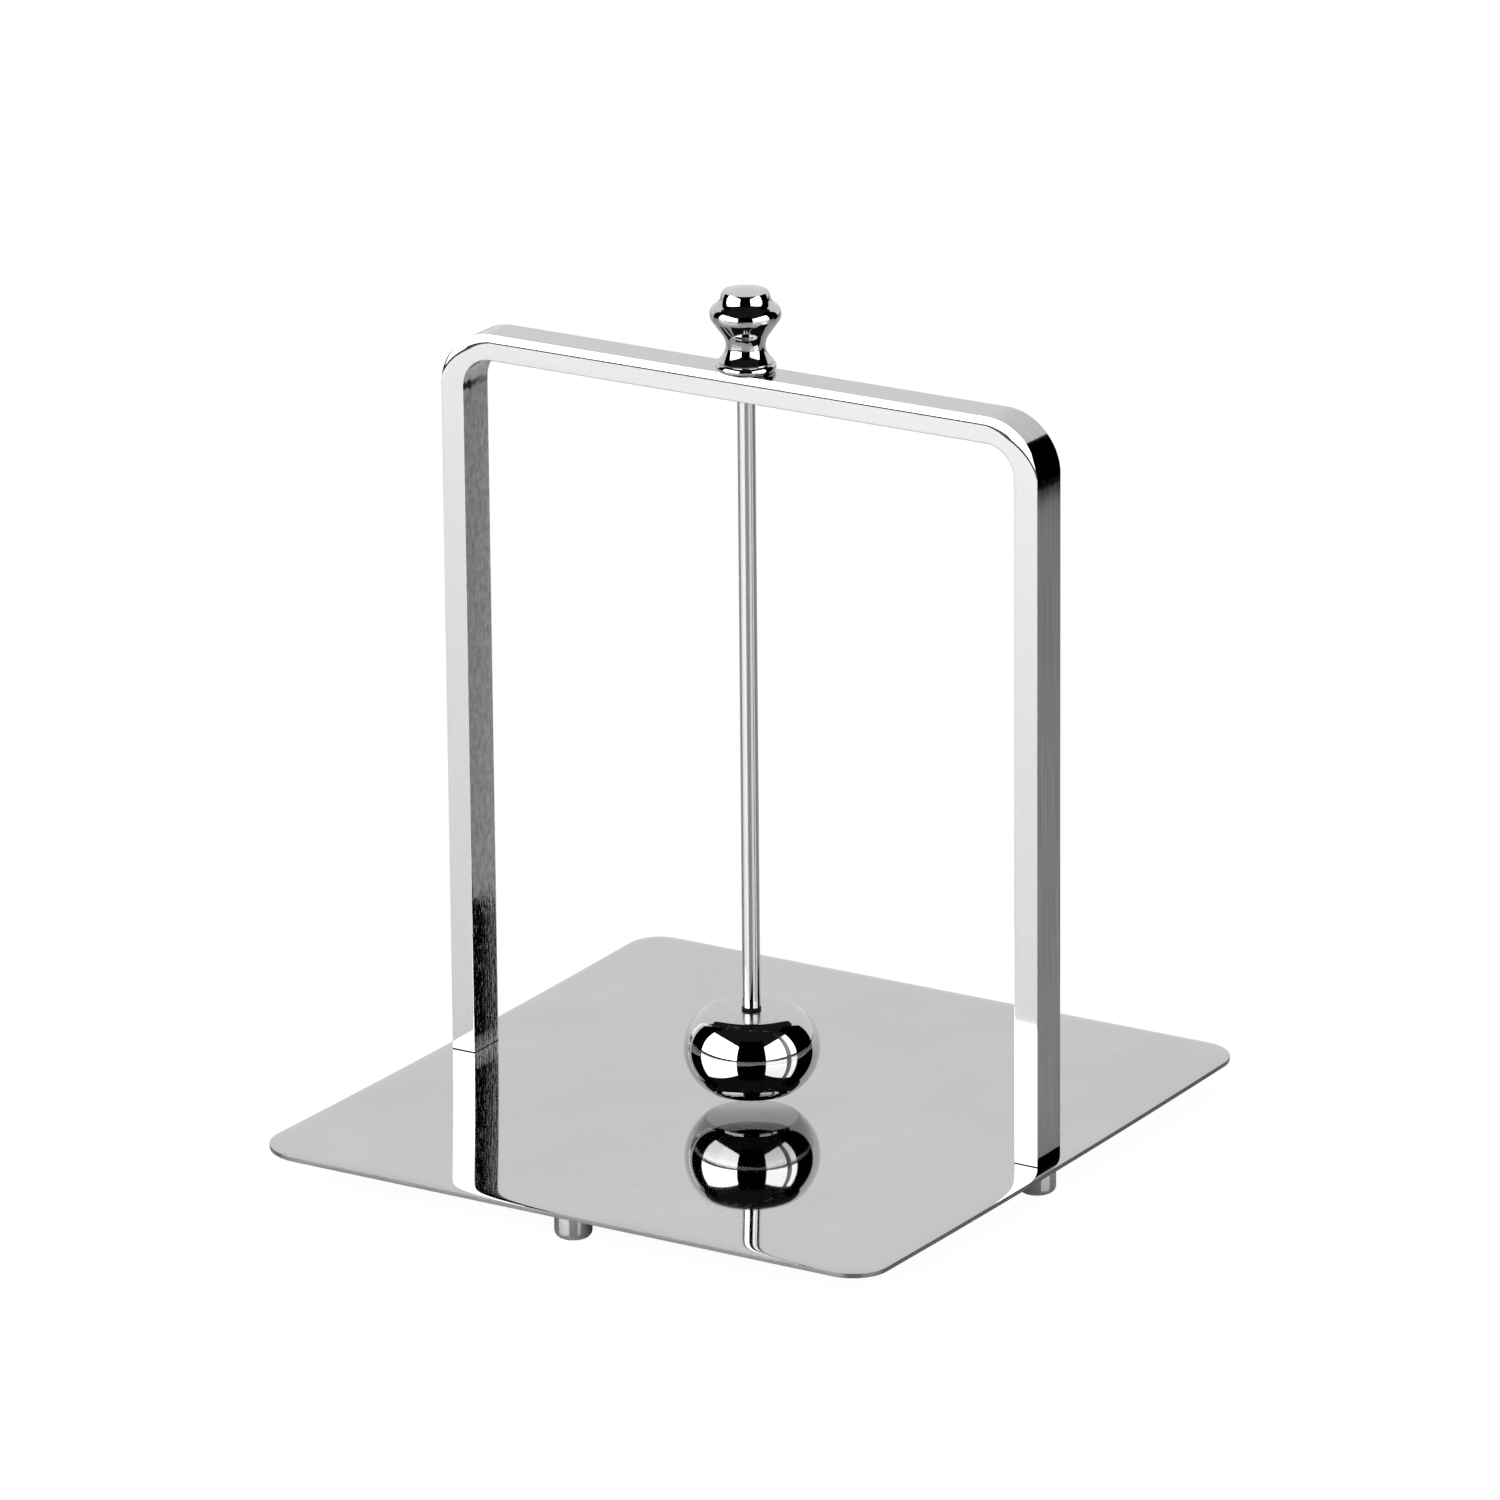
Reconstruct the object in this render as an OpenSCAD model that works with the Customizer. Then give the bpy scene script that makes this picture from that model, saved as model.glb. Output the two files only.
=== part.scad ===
// Napkin holder: a square plate on four turned feet, an arch bent from flat bar,
// and a lifting press of knob, rod, bumper ring and weight that hangs through the arch.
// Millimetres, +Z up, +X to the right leg, -Y to the front.
// The origin is the centre of the plate at the level of the table.

/* [Napkin] */
// Side of the folded napkin that lies between the legs
napkin_side = 165; // [120:1:200]
// Gap between the napkin and each leg
napkin_play = 1.8; // [0.5:0.1:6]

/* [Base plate] */
// Thickness of the sheet
plate_t = 1.2; // [1:0.1:3]
// Radius of the four corners
plate_corner_r = 13; // [8:0.5:25]
// Chamfer along the rim, top and bottom
plate_rim = 0.25; // [0.1:0.05:0.4]
// From the outer face of a leg to the side edge of the plate
plate_side_margin = 3.7; // [2:0.1:10]
// From the edge of the napkin to the front or back edge of the plate
plate_front_margin = 17; // [14:0.5:40]

/* [Arch] */
// Height of the arch above the plate
arch_h = 203; // [120:1:260]
// Thickness of the bar, seen from the front
bar_t = 7; // [6.5:0.1:10]
// Width of the bar, front to back
bar_w = 12; // [10:0.5:20]
// Outer radius of the two bends
bend_r = 15.5; // [12:0.5:30]
// Height of the bevel on the outer edges of the bar
bevel_h = 2; // [0.5:0.1:2.5]
// Depth of that bevel, front to back
bevel_in = 0.55; // [0.2:0.05:0.9]
// Chamfer on the inner edges of the bar
bar_edge = 0.4; // [0.1:0.05:0.8]

/* [Rod] */
// Diameter of the rod
rod_d = 4.8; // [4.5:0.1:6]
// Running clearance around the rod in the arch, on the radius
rod_clear = 0.1; // [0.02:0.01:0.1]
// Depth of the rod's shoulder in the knob
rod_pilot = 1.5; // [0.5:0.1:2.5]
// Length of the thread in the knob
knob_thread_l = 9; // [5:0.5:10]
// Length of the thread in the weight
weight_thread_l = 10; // [5:0.5:14]

/* [Bumper ring] */
// How far the rubber ring stands out past the rod
ring_reach = 0.2; // [0.15:0.05:2]
// Height of the rubber ring
ring_h = 0.9; // [0.6:0.1:3]

/* [Weight] */
// Largest diameter of the weight
weight_d = 36.5; // [32:0.1:50]
// Height of the weight
weight_h = 21.6; // [18:0.1:30]
// Diameter of its flat underside
weight_flat_d = 25; // [16:0.2:27]
// Rounding between its side and its top
weight_round = 4; // [1:0.5:6]
// Gap between the weight and the plate when the knob rests on the arch
weight_gap = 4.4; // [4.3:0.1:30]

/* [Knob] */
// Height of the knob
knob_h = 22; // [20:0.1:30]
// Diameter of the crown
crown_d = 12.9; // [10:0.1:15]
// Height of the crown above the bulge
crown_h = 2.7; // [2.2:0.1:5]
// Rounding of the crown's top edge
crown_round = 1.9; // [0.5:0.1:2]
// Diameter of the bulge
bulge_d = 18.8; // [16:0.2:24]
// Rounding of the bulge
bulge_round = 2.85; // [2:0.05:3.2]
// Diameter of the waist
waist_d = 10.4; // [9:0.1:12]
// Height of the waist above the arch
waist_z = 6.8; // [5.5:0.1:8]
// How far the shoulder under the bulge stands out past the waist
shoulder_reach = 1.8; // [0.8:0.1:2]
// Diameter of the base
base_d = 16; // [14:0.1:20]
// Rounding of the base
base_round = 1.3; // [0.8:0.1:1.5]

/* [Feet] */
// Diameter of a foot
foot_d = 10; // [9:0.1:14]
// Height of a foot
foot_h = 7.9; // [6.5:0.1:15]
// Rounding of a foot's lower edge
foot_round = 1.8; // [0.5:0.1:2.2]
// From the front or back edge of the plate to the axis of its foot
foot_inset = 10.2; // [8:0.1:14]

/* [Threads] */
// Diameter of every thread, drawn without its turns
thread_d = 4; // [3:0.1:4.2]
// Clearance around a thread, on the radius
thread_clear = 0.05; // [0.02:0.01:0.1]
// Depth of the thread in a leg
leg_thread_l = 12; // [6:0.5:25]
// Depth of the thread in a foot
foot_thread_l = 5; // [3:0.1:5.2]
// Diameter of a weld stud's flange
flange_d = 5.5; // [5:0.1:6.5]
// Thickness of a weld stud's flange
flange_t = 0.7; // [0.4:0.1:1]

/* [Hidden] */

// Fineness of the round shapes
$fn = 96;
// Steps along an arc of a turned outline
arc_steps = 14;
// Overlap of a cut with open air
cut = 1;

// Widths that follow from the napkin
arch_inner_w = napkin_side + 2 * napkin_play;
arch_outer_w = arch_inner_w + 2 * bar_t;
plate_w = arch_outer_w + 2 * plate_side_margin;
plate_d = napkin_side + 2 * plate_front_margin;

// Levels above the table
plate_z = foot_h;
arch_z = plate_z + plate_t;
knob_z = arch_z + arch_h;
weight_z = arch_z + weight_gap;
ring_z = weight_z + weight_h;
rod_z = ring_z + ring_h;

// Places of the feet
leg_x = arch_outer_w / 2 - bar_t / 2;
foot_y = plate_d / 2 - foot_inset;

// Bores
thread_bore_d = thread_d + 2 * thread_clear;
rod_bore_d = rod_d + 2 * rod_clear;
pilot_bore_d = rod_d + 2 * thread_clear;
flange_bore_d = flange_d + 2 * thread_clear;
// Free depth past the end of a thread in a blind bore
thread_relief = 0.5;
// Chamfer on the upper edge of a foot and the ends of a stud
small_chamfer = 0.3;

steel = "silver";
plain_steel = "darkgray";
rubber = "black";

// Points of an arc about a centre, from angle a to angle b
function arc(x, y, r, a, b) =
    [for (i = [0 : arc_steps]) let (t = a + (b - a) * i / arc_steps)
        [x + r * cos(t), y + r * sin(t)]];

// Points of half a parabola that leaves the waist and ends at radius r, height z
function flare(r, z, z0) =
    [for (i = [1 : arc_steps]) let (t = i / arc_steps)
        [z0 + (r - z0) * t * t, waist_z + (z - waist_z) * t]];

// Outline of the plate's rim, from the corner's centre outwards
rim_outline = [
    [0, 0],
    [plate_corner_r - plate_rim, 0],
    [plate_corner_r, plate_rim],
    [plate_corner_r, plate_t - plate_rim],
    [plate_corner_r - plate_rim, plate_t],
    [0, plate_t]
];

// Strip of rim along one side of the plate, l long, with its inner edge on the origin
module rim_strip(l) {
    translate([0, l / 2, 0]) rotate([90, 0, 0])
        linear_extrude(height = l) polygon(rim_outline);
}

module base_plate() {
    core_w = plate_w - 2 * plate_corner_r;
    core_d = plate_d - 2 * plate_corner_r;
    color(steel) translate([0, 0, plate_z]) difference() {
        union() {
            translate([-core_w / 2, -core_d / 2, 0]) cube([core_w, core_d, plate_t]);
            for (side = [0, 180]) rotate([0, 0, side]) {
                translate([core_w / 2, 0, 0]) rim_strip(core_d);
                translate([0, core_d / 2, 0]) rotate([0, 0, 90]) rim_strip(core_w);
                translate([core_w / 2, core_d / 2, 0])
                    rotate_extrude(angle = 90) polygon(rim_outline);
                translate([-core_w / 2, core_d / 2, 0])
                    rotate([0, 0, 90]) rotate_extrude(angle = 90) polygon(rim_outline);
            }
        }
        for (x = [-leg_x, leg_x]) translate([x, 0, -cut])
            cylinder(d = thread_bore_d, h = plate_t + 2 * cut);
    }
}

// Section of the bar: x runs outwards from its inner face, y from front to back
function bar_section(x0) = [
    [x0, -bar_w / 2 + bar_edge],
    [x0 + bar_edge, -bar_w / 2],
    [x0 + bar_t - bevel_h, -bar_w / 2],
    [x0 + bar_t, -bar_w / 2 + bevel_in],
    [x0 + bar_t, bar_w / 2 - bevel_in],
    [x0 + bar_t - bevel_h, bar_w / 2],
    [x0 + bar_edge, bar_w / 2],
    [x0, bar_w / 2 - bar_edge]
];

// One leg, standing on the origin, with its outer face towards +X
module leg() {
    linear_extrude(height = arch_h - bend_r) polygon(bar_section(arch_inner_w / 2));
}

// One bend, from the top of the right leg to the end of the top bar
module bend() {
    translate([arch_outer_w / 2 - bend_r, 0, arch_h - bend_r]) rotate([90, 0, 0])
        rotate_extrude(angle = 90) polygon(bar_section(bend_r - bar_t));
}

// The straight top bar between the bends
module top_bar() {
    l = arch_outer_w - 2 * bend_r;
    translate([-l / 2, 0, arch_h - bar_t]) rotate([90, 0, 90])
        linear_extrude(height = l) polygon([for (p = bar_section(0)) [p[1], p[0]]]);
}

module arch() {
    color(steel) translate([0, 0, arch_z]) difference() {
        union() {
            for (side = [0, 180]) rotate([0, 0, side]) {
                leg();
                bend();
            }
            top_bar();
        }
        for (x = [-leg_x, leg_x]) translate([x, 0, -cut])
            cylinder(d = thread_bore_d, h = leg_thread_l + thread_relief + cut);
        translate([0, 0, arch_h - bar_t - cut])
            cylinder(d = rod_bore_d, h = bar_t + 2 * cut);
    }
}

// Threaded stud of length l with chamfered ends, standing on the origin
module stud(l) {
    r = thread_d / 2;
    rotate_extrude() polygon([
        [0, 0], [r - small_chamfer, 0], [r, small_chamfer],
        [r, l - small_chamfer], [r - small_chamfer, l], [0, l]
    ]);
}

// Level of the bottom of the thread in a foot
foot_thread_z = foot_h - foot_thread_l;

// Stud from a foot, through the plate and up into a leg
module leg_stud(x) {
    color(plain_steel) translate([x, 0, foot_thread_z])
        stud(foot_thread_l + plate_t + leg_thread_l);
}

module leg_stud_left() leg_stud(-leg_x);
module leg_stud_right() leg_stud(leg_x);

// Stud welded by its flange to the underside of the plate
module weld_stud(y) {
    color(plain_steel) translate([0, y, 0]) union() {
        translate([0, 0, foot_thread_z]) stud(foot_thread_l);
        translate([0, 0, plate_z - flange_t]) cylinder(d = flange_d, h = flange_t);
    }
}

module weld_stud_front() weld_stud(-foot_y);
module weld_stud_back() weld_stud(foot_y);

// Turned foot: a round nut with a blind thread and a recess for a stud's flange
module foot(x, y) {
    r = foot_d / 2;
    color(steel) translate([x, y, 0]) difference() {
        rotate_extrude() polygon(concat(
            [[0, 0]],
            arc(r - foot_round, foot_round, foot_round, -90, 0),
            [[r, foot_h - small_chamfer], [r - small_chamfer, foot_h], [0, foot_h]]
        ));
        translate([0, 0, foot_thread_z])
            cylinder(d = thread_bore_d, h = foot_thread_l + cut);
        translate([0, 0, foot_h - flange_t - thread_clear])
            cylinder(d = flange_bore_d, h = flange_t + thread_clear + cut);
    }
}

module foot_left() foot(-leg_x, 0);
module foot_right() foot(leg_x, 0);
module foot_front() foot(0, -foot_y);
module foot_back() foot(0, foot_y);

// Rod with a threaded end in the weight and another in the knob
module rod() {
    shank_top = knob_z + rod_pilot;
    r = rod_d / 2;
    t = thread_d / 2;
    color(steel) rotate_extrude() polygon([
        [0, ring_z - weight_thread_l],
        [t - small_chamfer, ring_z - weight_thread_l],
        [t, ring_z - weight_thread_l + small_chamfer],
        [t, rod_z],
        [r, rod_z],
        [r, shank_top],
        [t, shank_top],
        [t, shank_top + knob_thread_l - small_chamfer],
        [t - small_chamfer, shank_top + knob_thread_l],
        [0, shank_top + knob_thread_l]
    ]);
}

// Rubber ring between the rod's shoulder and the weight, which meets the arch first
module bumper_ring() {
    ring_round = 0.2;
    round_x = rod_d / 2 + ring_reach - ring_round;
    color(rubber) translate([0, 0, ring_z]) rotate_extrude() polygon(concat(
        [[thread_bore_d / 2, 0]],
        arc(round_x, ring_round, ring_round, -90, 0),
        arc(round_x, ring_h - ring_round, ring_round, 0, 90),
        [[thread_bore_d / 2, ring_h]]
    ));
}

// Weight: round sides on one arc, a flat underside and a flat top with a soft rim
module weight() {
    r = weight_d / 2;
    flat_r = weight_flat_d / 2;
    half_h = weight_h / 2;
    swell = r - flat_r;
    side_r = (half_h * half_h + swell * swell) / (2 * swell);
    side_x = r - side_r;
    rim_reach = side_r - weight_round;
    rim_drop = half_h - weight_round;
    rim_x = side_x + sqrt(rim_reach * rim_reach - rim_drop * rim_drop);
    rim_angle = atan2(rim_drop, rim_x - side_x);
    color(steel) translate([0, 0, weight_z]) difference() {
        rotate_extrude() polygon(concat(
            [[0, 0]],
            arc(side_x, half_h, side_r, -asin(half_h / side_r), rim_angle),
            arc(rim_x, weight_h - weight_round, weight_round, rim_angle, 90),
            [[0, weight_h]]
        ));
        translate([0, 0, weight_h - weight_thread_l - thread_relief])
            cylinder(d = thread_bore_d, h = weight_thread_l + thread_relief + cut);
    }
}

// Turned knob: base, waist, bulge and crown
module knob() {
    // The bulge's round runs from just under the crown to the slope above the waist
    bulge_top_angle = 68;
    bulge_low_angle = -40;
    // The base's round runs from its flat seat on the arch to the flare above it
    base_top_angle = 60;
    base_low_angle = -90;
    // Slope of the crown's wall and run of the hollow between crown and bulge
    crown_flare = 0.2;
    hollow_run = 0.4;
    crown_z = knob_h - crown_h;
    // The bulge's round has its centre this many of its radii under the crown
    bulge_sink = 1.4;
    bulge_x = bulge_d / 2 - bulge_round;
    bulge_z = crown_z - bulge_sink * bulge_round;
    // The shoulder above the waist, and the flare's end at the base
    shoulder_r = waist_d / 2 + shoulder_reach;
    shoulder_z = (waist_z + bulge_z) / 2;
    base_x = base_d / 2 - base_round;
    flare_r = base_x + base_round * cos(base_top_angle);
    flare_z = base_round * (1 + sin(base_top_angle));
    upper_flare = flare(shoulder_r, shoulder_z, waist_d / 2);
    lower_flare = flare(flare_r, flare_z, waist_d / 2);
    bore_l = rod_pilot + knob_thread_l + thread_relief;
    color(steel) translate([0, 0, knob_z]) difference() {
        rotate_extrude() polygon(concat(
            [[0, 0]],
            arc(base_x, base_round, base_round, base_low_angle, base_top_angle),
            [for (i = [arc_steps - 2 : -1 : 0]) lower_flare[i]],
            [[waist_d / 2, waist_z]],
            upper_flare,
            arc(bulge_x, bulge_z, bulge_round, bulge_low_angle, bulge_top_angle),
            [[crown_d / 2 + crown_flare + hollow_run, crown_z - hollow_run]],
            [[crown_d / 2 + crown_flare, crown_z]],
            arc(crown_d / 2 - crown_round, knob_h - crown_round, crown_round, 0, 90),
            [[0, knob_h]]
        ));
        translate([0, 0, -cut]) cylinder(d = thread_bore_d, h = bore_l + cut);
        translate([0, 0, -cut]) cylinder(d = pilot_bore_d, h = rod_pilot + cut);
    }
}

base_plate();
arch();
leg_stud_left();
leg_stud_right();
weld_stud_front();
weld_stud_back();
foot_left();
foot_right();
foot_front();
foot_back();
rod();
bumper_ring();
weight();
knob();
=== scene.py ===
# Napkin holder of mirror polished steel, dressed round its CAD model.
# Sizes below are in millimetres, and MM turns them into Blender's metres.
import math

import bpy
from mathutils import Matrix, Vector


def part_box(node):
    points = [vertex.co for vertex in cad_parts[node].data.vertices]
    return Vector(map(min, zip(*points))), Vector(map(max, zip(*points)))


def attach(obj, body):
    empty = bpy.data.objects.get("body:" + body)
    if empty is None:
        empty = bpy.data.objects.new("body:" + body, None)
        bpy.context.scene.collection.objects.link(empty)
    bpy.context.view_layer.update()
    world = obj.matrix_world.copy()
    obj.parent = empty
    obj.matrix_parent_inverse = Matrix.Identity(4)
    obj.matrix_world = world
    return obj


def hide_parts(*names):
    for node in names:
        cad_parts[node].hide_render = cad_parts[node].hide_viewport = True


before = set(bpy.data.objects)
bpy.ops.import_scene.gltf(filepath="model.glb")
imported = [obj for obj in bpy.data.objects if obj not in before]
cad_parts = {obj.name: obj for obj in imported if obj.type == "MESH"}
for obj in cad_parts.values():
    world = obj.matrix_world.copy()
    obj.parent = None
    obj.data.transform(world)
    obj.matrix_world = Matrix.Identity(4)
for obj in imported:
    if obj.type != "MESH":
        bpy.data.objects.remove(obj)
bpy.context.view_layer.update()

MM = 0.001
STAND = "stand"
PRESS = "press"

# How far the front and back edges of the sheet plate have sprung up from its middle
PLATE_BOW = 0.95

# Radius of the bores round the M4 threads, and how deep the rod's shank sits in the knob
THREAD_BORE = 2.05
PILOT_DEPTH = 1.5

# Camera: where the lens looks from and at, with its roll
VIEW_AZIMUTH = 31.66
VIEW_ELEVATION = 18.37
VIEW_ROLL = -0.50
VIEW_DISTANCE = 3238.4
VIEW_TARGET = (-163.8, 266.0, 3.9)
LENS = 264.5
SENSOR = 36

# Steps round a turned piece, and degrees per step along an arc of its outline
TURN_STEPS = 128
ARC_STEP = 6


# Meshes

def arc(x, z, radius, start, end):
    """Points of an arc round (x, z), from one angle to another in degrees."""
    steps = max(2, round(abs(end - start) / ARC_STEP))
    angles = [math.radians(start + (end - start) * i / steps) for i in range(steps + 1)]
    return [(x + radius * math.cos(a), z + radius * math.sin(a)) for a in angles]


def mesh_piece(name, points, faces, body=None, sharp=35):
    """A smooth shaded object from points in millimetres, which rides on a body."""
    mesh = bpy.data.meshes.new(name)
    mesh.from_pydata([Vector(p) * MM for p in points], [], faces)
    mesh.validate()
    return placed(bpy.data.objects.new(name, mesh), body, sharp)


def placed(piece, body, sharp=35):
    """Puts a piece in the scene, smooth shaded but for its sharp edges."""
    bpy.context.scene.collection.objects.link(piece)
    piece.data.shade_smooth()
    piece.data.set_sharp_from_angle(angle=math.radians(sharp))
    if body:
        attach(piece, body)
    return piece


def turned(name, outline, centre, body=None, closed=False):
    """Spins an outline of (radius, height) points, listed upwards, about a vertical axis."""
    points, rings = [], []
    for radius, height in outline:
        if radius < 1e-6:
            rings.append([len(points)])
            points.append((centre[0], centre[1], centre[2] + height))
            continue
        rings.append(list(range(len(points), len(points) + TURN_STEPS)))
        for i in range(TURN_STEPS):
            a = math.tau * i / TURN_STEPS
            x, y = radius * math.cos(a), radius * math.sin(a)
            points.append((centre[0] + x, centre[1] + y, centre[2] + height))
    if closed:
        rings.append(rings[0])
    faces = []
    for below, above in zip(rings, rings[1:]):
        for i in range(TURN_STEPS):
            j = (i + 1) % TURN_STEPS
            corners = [below[i % len(below)], below[j % len(below)]]
            corners += [above[j % len(above)], above[i % len(above)]]
            corners = list(dict.fromkeys(corners))
            if len(corners) > 2:
                faces.append(corners)
    return mesh_piece(name, points, faces, body)


# Nodes

def linear(code):
    """Linear colour with alpha from an sRGB code such as #C6C6C6."""
    parts = [int(code[i:i + 2], 16) / 255 for i in (1, 3, 5)]
    return tuple(c / 12.92 if c <= 0.04045 else ((c + 0.055) / 1.055) ** 2.4 for c in parts) + (1,)


def feed(tree, node, inputs):
    """Sets or links a node's inputs, which are given by name or in order.

    A socket is linked, and so is a node, by its first output.
    """
    for socket, value in inputs.items() if isinstance(inputs, dict) else enumerate(inputs):
        if isinstance(value, bpy.types.Node):
            value = value.outputs[0]
        if isinstance(value, bpy.types.NodeSocket):
            tree.links.new(value, node.inputs[socket])
        else:
            node.inputs[socket].default_value = value


def add(tree, kind, inputs=(), stops=(), **settings):
    """Adds a node, with its settings, its (position, sRGB code) stops and its inputs."""
    node = tree.nodes.new(kind)
    for name, value in settings.items():
        setattr(node, name, value)
    if stops:
        for element, (position, code) in zip(node.color_ramp.elements, stops):
            element.position = position
            element.color = linear(code)
    feed(tree, node, inputs)
    return node


def material(name):
    made = bpy.data.materials.new(name)
    made.use_nodes = True
    tree = made.node_tree
    return made, tree, tree.nodes["Principled BSDF"]


def object_mm(tree):
    """Object coordinates in millimetres."""
    place = add(tree, "ShaderNodeTexCoord").outputs["Object"]
    return add(tree, "ShaderNodeMapping", {"Vector": place, "Scale": (1 / MM,) * 3})


def geometry_tree(name, sizes):
    """A geometry tree with an input for a geometry and for each size, and what it is given."""
    tree = bpy.data.node_groups.new(name, "GeometryNodeTree")
    tree.interface.new_socket("Geometry", in_out="INPUT", socket_type="NodeSocketGeometry")
    for size_name in sizes:
        tree.interface.new_socket(size_name, in_out="INPUT", socket_type="NodeSocketFloat")
    tree.interface.new_socket("Geometry", in_out="OUTPUT", socket_type="NodeSocketGeometry")
    return tree, add(tree, "NodeGroupInput").outputs


# Finishes

def polished_sheet():
    """Stainless sheet, mirror polished: clear reflections, faint smears and grey pits."""
    made, tree, shader = material("mirror_polished_sheet")
    place = object_mm(tree)
    # Smears from wiping, 30 mm wide, with finer ones in them
    smear = add(tree, "ShaderNodeTexNoise", {"Vector": place, "Scale": 1 / 30, "Detail": 4})
    tone = add(tree, "ShaderNodeValToRGB", [smear], [(0.3, "#B9B9B9"), (0.7, "#BEBEBE")])
    # Pits lie about 6 mm apart and are drawn 0.6 mm wide, so that they show
    specked = pitted(tree, place, tone, spacing=6, radius=0.3, share=0.4, code="#8A8A8A")
    gloss = add(tree, "ShaderNodeMapRange", {"Value": smear, "To Min": 0.015, "To Max": 0.05})
    feed(tree, shader, {"Base Color": specked, "Roughness": gloss, "Metallic": 1})
    return made


def pitted(tree, place, tone, spacing, radius, share, code):
    """A tone with soft round pits of another colour, in a share of the cells they lie in."""
    cells = add(tree, "ShaderNodeTexVoronoi", {
        "Vector": place, "Scale": 1 / spacing}, voronoi_dimensions="2D").outputs
    near = add(tree, "ShaderNodeMapRange", {
        "Value": cells["Distance"], "From Min": 0.4 * radius / spacing,
        "From Max": radius / spacing})
    drawn = add(tree, "ShaderNodeSeparateColor", {"Color": cells["Color"]})
    bare = add(tree, "ShaderNodeMath", [drawn, share], operation="GREATER_THAN")
    clean = add(tree, "ShaderNodeMath", [near, bare], operation="MAXIMUM")
    return add(tree, "ShaderNodeMix", {
        "Factor": clean, "A": linear(code), "B": tone}, data_type="RGBA").outputs["Result"]


def sawn_rim():
    """Cut and linished edge of the sheet: satin, greyer than the face."""
    made, tree, shader = material("linished_sheet_edge")
    # Marks of the linishing belt run along the edge, 0.3 mm apart
    place = add(tree, "ShaderNodeMapping", {"Vector": object_mm(tree), "Scale": (0.1, 0.1, 3)})
    marks = add(tree, "ShaderNodeTexNoise", {"Vector": place, "Scale": 1, "Detail": 3})
    tone = add(tree, "ShaderNodeValToRGB", [marks], [(0.3, "#7A7A7A"), (0.7, "#8F8F8F")])
    gloss = add(tree, "ShaderNodeMapRange", {"Value": marks, "To Min": 0.28, "To Max": 0.4})
    feed(tree, shader, {"Base Color": tone, "Roughness": gloss, "Metallic": 1})
    return made


def faced_steel():
    """Faced on the lathe and left satin: soft reflections, fine scratches and pits."""
    made, tree, shader = material("faced_satin_steel")
    place = object_mm(tree)
    # Scratches 0.15 mm wide, a few millimetres long
    lines = add(tree, "ShaderNodeMapping", {
        "Vector": place, "Rotation": (0, 0, 0.6), "Scale": (0.35, 6, 1)})
    scratch = add(tree, "ShaderNodeTexNoise", {"Vector": lines, "Scale": 1, "Detail": 3})
    tone = add(tree, "ShaderNodeValToRGB", [scratch], [(0.35, "#B4B4B4"), (0.65, "#C2C2C2")])
    # Pits 3 mm apart and 0.5 mm wide
    specked = pitted(tree, place, tone, spacing=3, radius=0.25, share=0.5, code="#8C8C8C")
    gloss = add(tree, "ShaderNodeMapRange", {"Value": scratch, "To Min": 0.14, "To Max": 0.26})
    feed(tree, shader, {"Base Color": specked, "Roughness": gloss, "Metallic": 1})
    return made


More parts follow.
